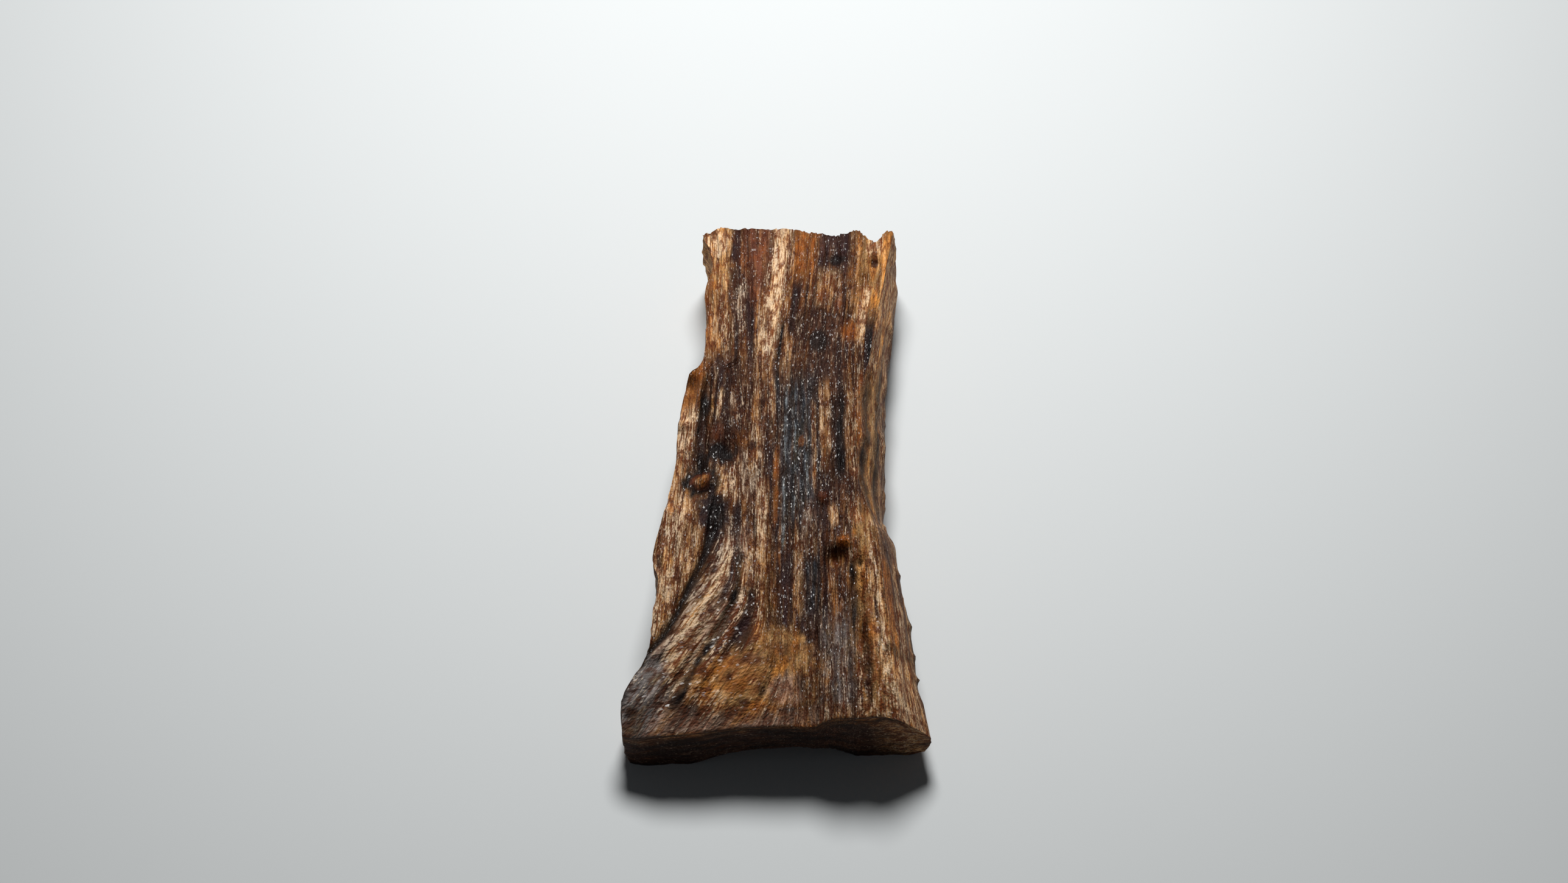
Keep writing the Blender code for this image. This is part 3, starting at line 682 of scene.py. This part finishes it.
def paint(x, y, depth, across, along, share):
    """Grain line and finish of each point: the wood inside, then what shows on each face."""
    line = grain_line(x, y)
    wobble = lumpy(WAVERING, line, y, depth)
    finish = veined(line, y, depth)
    top = ease((share - TOP_FROM) / TOP_BLEND)
    uneven = MEAN_STRENGTH + lumpy(STRENGTH_LUMPS, line, y, depth)
    for colour, half_width, strength, near_line, far_line, start, end in STREAKS:
        at = near_line + (far_line - near_line) * (y - start) / (end - start)
        fade = min(SHORTEST_FADE + FADE_BY_WIDTH * half_width, LONGEST_FADE_SHARE * (end - start))
        along_streak = stretch(y, start - 0.5 * fade, end + 0.5 * fade, fade)
        away = (line + wobble - at) / half_width
        weight = strength * bell(away**2 * STREAK_FLATNESS) * along_streak
        blend(finish, colour, STREAK_STRENGTH * top * weight * uneven)
    ragged = lumpy(PATCH_LUMPS, x, y, depth)
    for colour, strength, at_x, at_y, half_width, half_length in PATCHES:
        away = np.hypot((x + wobble - at_x) / half_width, (y - at_y) / half_length)
        away += ragged * min(RAGGEDNESS, RAGGED_BY_WIDTH * half_width)
        blend(finish, colour, top * strength * ease((PATCH_END - away) / PATCH_FADE))
    # Painted shade: the crack's groove is darkened with the resin's colour.
    blend(finish, "resin", CRACK_PAINTED_SHADE * top * crack_groove(x, y) / CRACK_DEPTH)
    # Painted highlight along the near cut's arris: greyish pink, then tan at the right.
    lip_tint_and_highlight = top * uneven * ease(1 - along * LENGTH / LIP_HIGHLIGHT_WIDTH)
    blend(finish, "lip_tint_and_highlight", lip_tint_and_highlight * ease(LIP_HIGHLIGHT_TO - x) * ease(x - LIP_HIGHLIGHT_FROM))
    blend(finish, "tan", lip_tint_and_highlight * ease(x - TAN_HIGHLIGHT_FROM))
    at_left, at_right, cut = across < FIRST, across > LAST, along < FIRST
    for stripes, side in ((RIGHT_STRIPES, at_right), (LEFT_STRIPES, at_left)):
        for colour, half_share, strength, at_share, start, end in stripes:
            away = (share + WAVERING_ON_SIDES * wobble - at_share) / half_share
            weight = bell(away) * stretch(y, start, end, STRIPE_TAPER)
            blend(finish, colour, STREAK_STRENGTH * strength * weight * uneven * side)
    paint_cut(finish, x, depth, share, cut)
    finish[:, 4] *= np.where(share > LAST, 1.0, WET_SIDES)
    finish[:, :3] *= (1 + PALER_AT_BREAK * ease((y - PALER_FROM) / PALER_BLEND))[:, None]
    finish[:, :3] *= (1 + PALER_AT_SIDES * (at_left | at_right))[:, None]
    finish[:, :3] *= (1 + PALER_AT_CUT * cut)[:, None]
    return line + WAVERING_ON_SIDES * wobble, finish


def fine_relief(line, y, depth, wet, x):
    """Torn fibres, split steps and, where resin has soaked in, small crumbs."""
    fibres = lumpy(FIBRES, line, y, depth)
    layers = lumpy(SPLIT_LAYERS, line, y, depth)
    rest = layers - np.floor(layers)
    steps = STEP_RISE * (ease((rest - STEP_AT) / STEP_WIDTH) - rest)
    crumbs = (DRY_CRUMBS + wet) * CRUMB_RISE * lumpy(CRUMBS, x, y, depth)
    calm = 1 - SMOOTHER_AT_CUT * ease(1 - y / SMOOTHER_REACH)
    return calm * (fibres + steps + crumbs)


def keep_arrises_sharp(mesh, across, along, share):
    """Marks the edges of the chip's box, where two of its faces meet, as sharp."""
    faces = sum(((part < FIRST) | (part > LAST)).astype(int) for part in (across, along, share))
    ends = np.zeros(2 * len(mesh.edges), int)
    mesh.edges.foreach_get("vertices", ends)
    sharp = mesh.attributes.new("sharp_edge", "BOOLEAN", "EDGE")
    sharp.data.foreach_set("value", (faces > 1)[ends].reshape(-1, 2).all(axis=1))


def build_chip():
    """The chip as one mesh, with its grain, colours and gloss as attributes of its points."""
    across, along, share, faces = lattice()
    x, y, z = chip_points(across, along, share)
    depth = DEPTH * share
    line, finish = paint(x, y, depth, across, along, share)
    flecks, wet = finish[:, 3], finish[:, 4]
    mesh = bpy.data.meshes.new("agarwood_surface")
    places = np.stack([x, y, z], axis=-1)
    mesh.from_pydata(places.tolist(), [], faces.tolist())
    normals = np.zeros(len(x) * 3)
    mesh.vertex_normals.foreach_get("vector", normals)
    places += normals.reshape(-1, 3) * fine_relief(line, y, depth, wet, x)[:, None]
    places[:, 2] = np.maximum(places[:, 2], 0.0)
    places[:, :2] -= CENTRE
    mesh.vertices.foreach_set("co", (places * MM).ravel())
    grain = mesh.attributes.new("grain", "FLOAT_VECTOR", "POINT")
    grain.data.foreach_set("vector", np.stack([line, y, depth], axis=-1).ravel())
    colour = mesh.color_attributes.new("tint", "FLOAT_COLOR", "POINT")
    colour.data.foreach_set("color", np.column_stack([finish[:, :3], np.ones(len(x))]).ravel())
    for name, values in (("flecks", flecks), ("wet", wet)):
        share_of_it = mesh.attributes.new(name, "FLOAT", "POINT")
        share_of_it.data.foreach_set("value", values)
    mesh.shade_smooth()
    keep_arrises_sharp(mesh, across, along, share)
    mesh.update()
    chip = bpy.data.objects.new("agarwood_surface", mesh)
    bpy.context.scene.collection.objects.link(chip)
    return chip


class Nodes:
    """Short ways to add nodes to one material."""

    def __init__(self, name):
        self.material = bpy.data.materials.new(name)
        self.material.use_nodes = True
        self.tree = self.material.node_tree
        self.shader = self.tree.nodes["Principled BSDF"]

    def link(self, source, target):
        self.tree.links.new(source, target)

    def attribute(self, name):
        node = self.tree.nodes.new("ShaderNodeAttribute")
        node.attribute_name = name
        return node

    def stretched(self, vector, scale):
        node = self.tree.nodes.new("ShaderNodeMapping")
        node.inputs["Scale"].default_value = scale
        self.link(vector, node.inputs["Vector"])
        return node.outputs["Vector"]

    def noise(self, vector, scale, detail, roughness):
        node = self.tree.nodes.new("ShaderNodeTexNoise")
        node.inputs["Scale"].default_value = 1.0
        node.inputs["Detail"].default_value = detail
        node.inputs["Roughness"].default_value = roughness
        self.link(self.stretched(vector, scale), node.inputs["Vector"])
        return node.outputs["Fac"]

    def vectors(self, operation, *values):
        node = self.tree.nodes.new("ShaderNodeVectorMath")
        node.operation = operation
        for socket, value in zip(node.inputs, values):
            if isinstance(value, tuple):
                socket.default_value = value
            else:
                self.link(value, socket)
        return node.outputs["Vector"]

    def bumps(self, height, distance):
        """A normal that leans with the height, which is a share of the distance."""
        node = self.tree.nodes.new("ShaderNodeBump")
        node.inputs["Strength"].default_value = 1.0
        node.inputs["Distance"].default_value = distance
        self.link(height, node.inputs["Height"])
        return node.outputs["Normal"]

    def facets(self, vector, scale, tilt):
        """A normal that leans another way in each small cell, as crystals of resin do."""
        node = self.tree.nodes.new("ShaderNodeTexVoronoi")
        node.inputs["Scale"].default_value = 1.0
        self.link(self.stretched(vector, scale), node.inputs["Vector"])
        lean = self.vectors("SUBTRACT", node.outputs["Color"], (0.5, 0.5, 0.5))
        normal = self.tree.nodes.new("ShaderNodeNewGeometry").outputs["Normal"]
        leaning = self.vectors("MULTIPLY_ADD", lean, (tilt, tilt, tilt), normal)
        return self.vectors("NORMALIZE", leaning)

    def spread(self, value, low, high, to_low=0.0, to_high=1.0):
        """The value, moved from one range to another and kept inside it."""
        node = self.tree.nodes.new("ShaderNodeMapRange")
        node.inputs["From Min"].default_value = low
        node.inputs["From Max"].default_value = high
        node.inputs["To Min"].default_value = to_low
        node.inputs["To Max"].default_value = to_high
        self.link(value, node.inputs["Value"])
        return node.outputs["Result"]

    def maths(self, operation, first, second):
        node = self.tree.nodes.new("ShaderNodeMath")
        node.operation = operation
        for socket, value in zip(node.inputs, (first, second)):
            if isinstance(value, float):
                socket.default_value = value
            else:
                self.link(value, socket)
        return node.outputs["Value"]

    def mix(self, blend_type, factor, first, second):
        node = self.tree.nodes.new("ShaderNodeMix")
        node.data_type = "RGBA"
        node.blend_type = blend_type
        for name, value in (("Factor_Float", factor), ("A_Color", first), ("B_Color", second)):
            socket = next(s for s in node.inputs if s.identifier == name)
            if isinstance(value, (float, tuple)):
                socket.default_value = value
            else:
                self.link(value, socket)
        return next(s for s in node.outputs if s.identifier == "Result_Color")


def wood_material():
    """Fibres, stains and pale hairs over the painted colours, with faceted gloss on the resin."""
    n = Nodes("resinous_wood")
    grain = n.attribute("grain").outputs["Vector"]
    tint = n.attribute("tint").outputs["Color"]
    flecks = n.attribute("flecks").outputs["Fac"]
    wet = n.attribute("wet").outputs["Fac"]
    hairs = n.noise(grain, *HAIRS)
    bundles = n.noise(grain, *FIBRE_BUNDLES)
    stains = n.noise(grain, *STAINS)
    blots = n.noise(grain, *BLOTS)
    specks = n.noise(grain, *SPECKS)
    warm = n.mix("MULTIPLY", 1.0, tint, WARM)
    dark = n.mix("MULTIPLY", 1.0, tint, DARK)
    amber = n.mix("MULTIPLY", 1.0, tint, AMBER)
    bright = n.mix("MULTIPLY", 1.0, tint, BRIGHT)
    cream = n.mix("MIX", n.spread(wet, *RESINOUS), DRY_CREAM, RESIN_CREAM)
    pale = n.mix("MIX", n.spread(stains, *CREAM_BY_STAIN), bright, cream)
    fibrous = n.spread(flecks, *FIBROUS_BY_FLECKS)
    colour = n.mix("MIX", n.spread(stains, *WARM_BY_STAIN), tint, warm)
    dark_bundles = n.maths("MULTIPLY", fibrous, n.spread(bundles, *DARK_BUNDLES))
    colour = n.mix("MIX", dark_bundles, colour, dark)
    bright_bundles = n.maths("MULTIPLY", fibrous, n.spread(bundles, *BRIGHT_BUNDLES))
    colour = n.mix("MIX", bright_bundles, colour, bright)
    hair_part = n.maths("MULTIPLY", hairs, HAIR_SHARE)
    fibre = n.maths("ADD", hair_part, n.maths("MULTIPLY", specks, SPECK_SHARE))
    cover = n.maths("SUBTRACT", fibre, n.spread(flecks, *UNCOVERED_BY_FLECKS))
    colour = n.mix("MIX", n.spread(cover, *COVER_EDGE), colour, pale)
    amber_hairs = n.maths("MULTIPLY", fibrous, n.spread(hairs, *AMBER_HAIRS))
    colour = n.mix("MIX", amber_hairs, colour, amber)
    mottled = n.spread(flecks, *MOTTLED_BY_FLECKS)
    amber_blots = n.maths("MULTIPLY", mottled, n.spread(blots, *AMBER_BLOTS))
    dark_blots = n.maths("MULTIPLY", mottled, n.spread(blots, *DARK_BLOTS))
    colour = n.mix("MIX", amber_blots, colour, amber)
    colour = n.mix("MIX", dark_blots, colour, dark)
    relief = n.maths("ADD", hairs, n.maths("MULTIPLY", specks, SPECK_RELIEF))
    shader = n.shader.inputs
    n.link(colour, shader["Base Color"])
    n.link(n.spread(wet, *ROUGHNESS_BY_WET), shader["Roughness"])
    shader["Specular IOR Level"].default_value = WOOD_SPECULAR
    n.link(n.bumps(relief, RELIEF_DISTANCE * MM), shader["Normal"])
    n.link(n.spread(wet, *COAT_BY_WET), shader["Coat Weight"])
    shader["Coat Roughness"].default_value = COAT_ROUGHNESS
    n.link(n.facets(grain, FACET_CELLS, FACET_TILT), shader["Coat Normal"])
    return n.material


def floor():
    mesh = bpy.data.meshes.new("pale_floor")
    low, high = -FLOOR_HALF, FLOOR_HALF
    corners = [(low, low, 0), (high, low, 0), (high, high, 0), (low, high, 0)]
    mesh.from_pydata(corners, [], [(0, 1, 2, 3)])
    plane = bpy.data.objects.new("pale_floor", mesh)
    bpy.context.scene.collection.objects.link(plane)
    n = Nodes("pale_paper")
    n.shader.inputs["Base Color"].default_value = FLOOR_COLOUR
    n.shader.inputs["Roughness"].default_value = FLOOR_ROUGHNESS
    n.shader.inputs["Specular IOR Level"].default_value = FLOOR_SPECULAR
    mesh.materials.append(n.material)
    return plane


def area_light(name, place, aim, size, power, colour):
    data = bpy.data.lights.new(name, "AREA")
    data.shape = "DISK"
    data.size = size * MM
    data.energy = power
    data.color = colour
    lamp = bpy.data.objects.new(name, data)
    lamp.location = [c * MM for c in place]
    away = np.array(place) - np.array(aim)
    flat = math.hypot(away[0], away[1])
    lamp.rotation_euler = (math.atan2(flat, away[2]), 0.0, math.atan2(away[0], -away[1]))
    bpy.context.scene.collection.objects.link(lamp)


def light_scene():
    area_light("key", KEY_PLACE, KEY_AIM, KEY_SIZE, KEY_POWER, KEY_COLOUR)
    world = bpy.data.worlds.new("studio")
    world.use_nodes = True
    background = world.node_tree.nodes["Background"]
    background.inputs["Color"].default_value = WORLD_COLOUR
    background.inputs["Strength"].default_value = WORLD_STRENGTH
    bpy.context.scene.world = world
    bpy.context.scene.view_settings.view_transform = "Standard"


def camera():
    data = bpy.data.cameras.new("camera")
    data.sensor_fit = "HORIZONTAL"
    data.angle = 2 * math.atan(HALF_FRAME / FOCAL_LENGTH)
    data.clip_start, data.clip_end = CLIP
    view = bpy.data.objects.new("camera", data)
    view.location = [c * MM for c in CAMERA_PLACE]
    view.rotation_euler = (math.radians(CAMERA_TILT), 0.0, 0.0)
    bpy.context.scene.collection.objects.link(view)
    bpy.context.scene.camera = view


chip = build_chip()
chip.data.materials.append(wood_material())
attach(chip, "root")
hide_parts(NODE)
floor()
light_scene()
camera()
